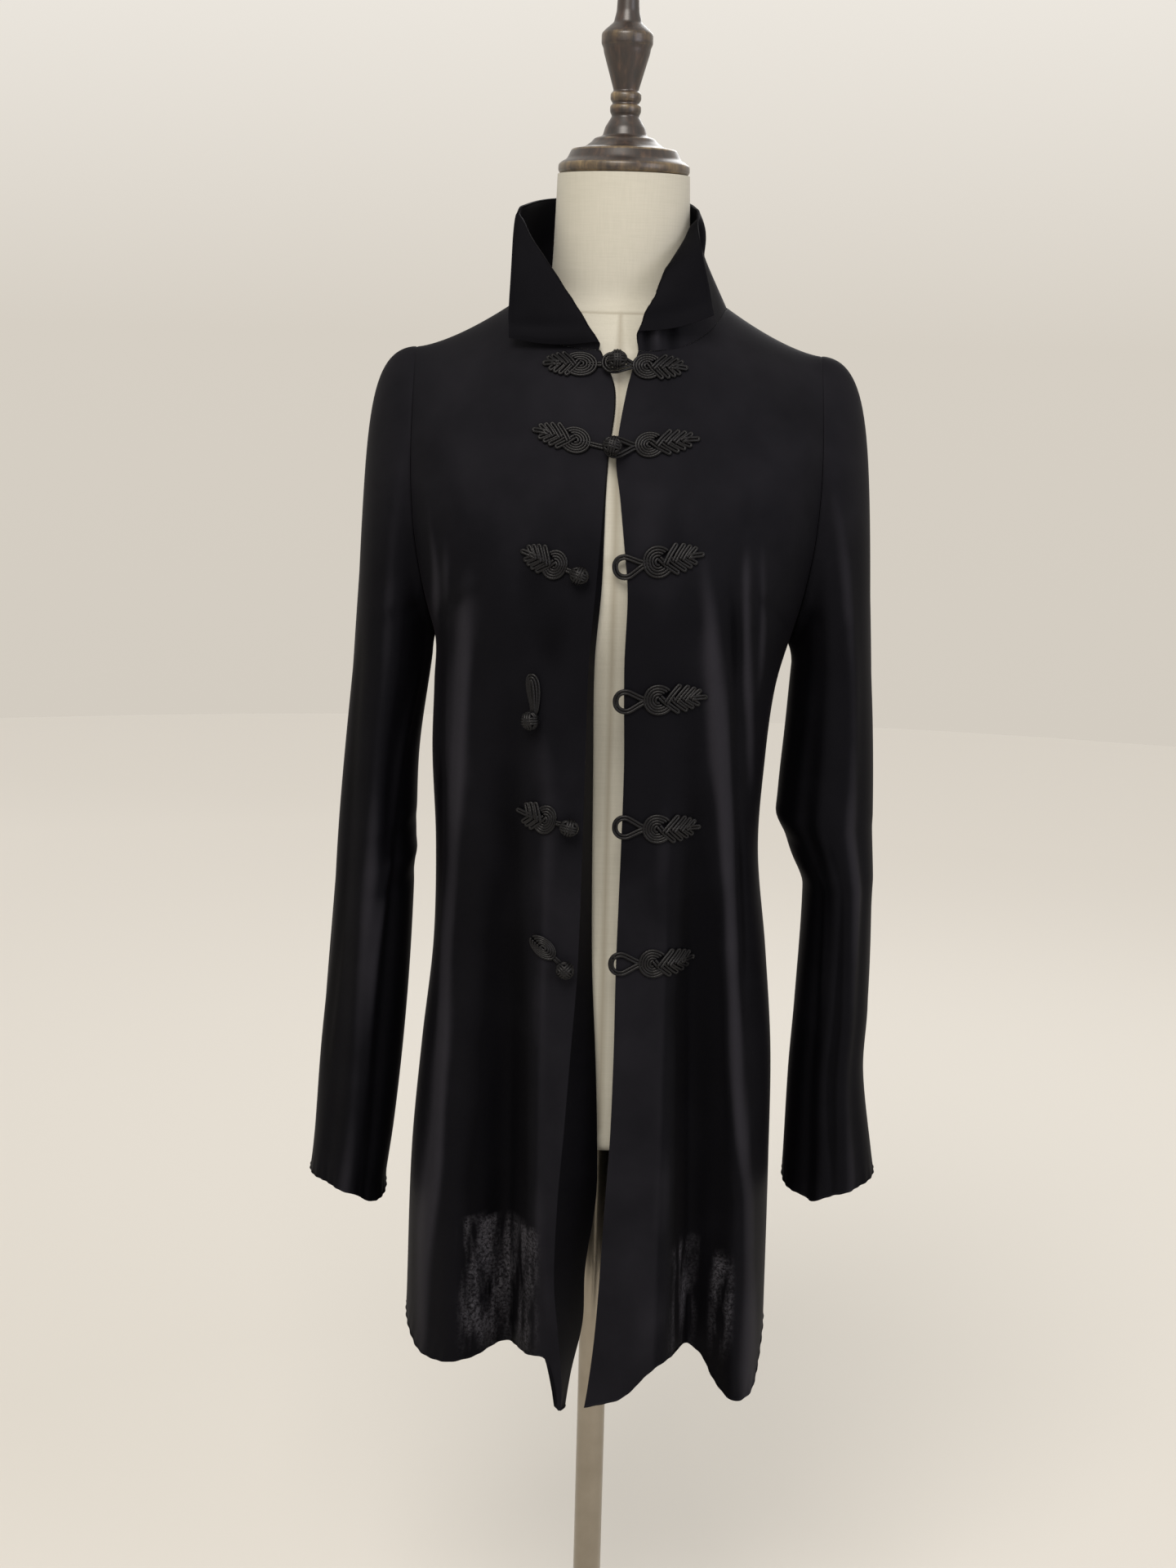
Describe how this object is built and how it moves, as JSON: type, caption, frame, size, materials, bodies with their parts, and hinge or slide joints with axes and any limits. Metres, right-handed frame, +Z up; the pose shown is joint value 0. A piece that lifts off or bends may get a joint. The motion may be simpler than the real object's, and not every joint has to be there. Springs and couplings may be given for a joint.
{
  "type": "frog-button long shirt on a limbless dress form",
  "caption": "Long crepe shirt with cord frogs and a turned-up collar, open down the front, worn by a linen dress form on a chrome stand.",
  "frame": {"origin": "on the floor, on the axis of the stand's pole", "axes": "+Z up, +Y to the back of the shirt, +X to the wearer's left"},
  "size_m": [0.4994, 0.32, 1.6393],
  "materials": {
    "crepe": "black crepe, soft sheen",
    "cord": "black satin cord",
    "linen": "natural linen",
    "wood": "dark stained and waxed, worn at the edges",
    "chrome": "polished"
  },
  "bodies": {
    "root": {"front_right": "crepe", "front_left": "crepe", "back": "crepe", "sleeve_right": "crepe", "sleeve_left": "crepe", "collar": "crepe", "frog_button_1": "cord", "frog_button_2": "cord", "frog_button_3": "cord", "frog_button_4": "cord", "frog_button_5": "cord", "frog_button_6": "cord", "frog_loop_1": "cord", "frog_loop_2": "cord", "frog_loop_3": "cord", "frog_loop_4": "cord", "frog_loop_5": "cord", "frog_loop_6": "cord", "dress_form": "linen", "neck_cap": "wood", "pole": "chrome", "base": "chrome"}
  },
  "joints": []
}
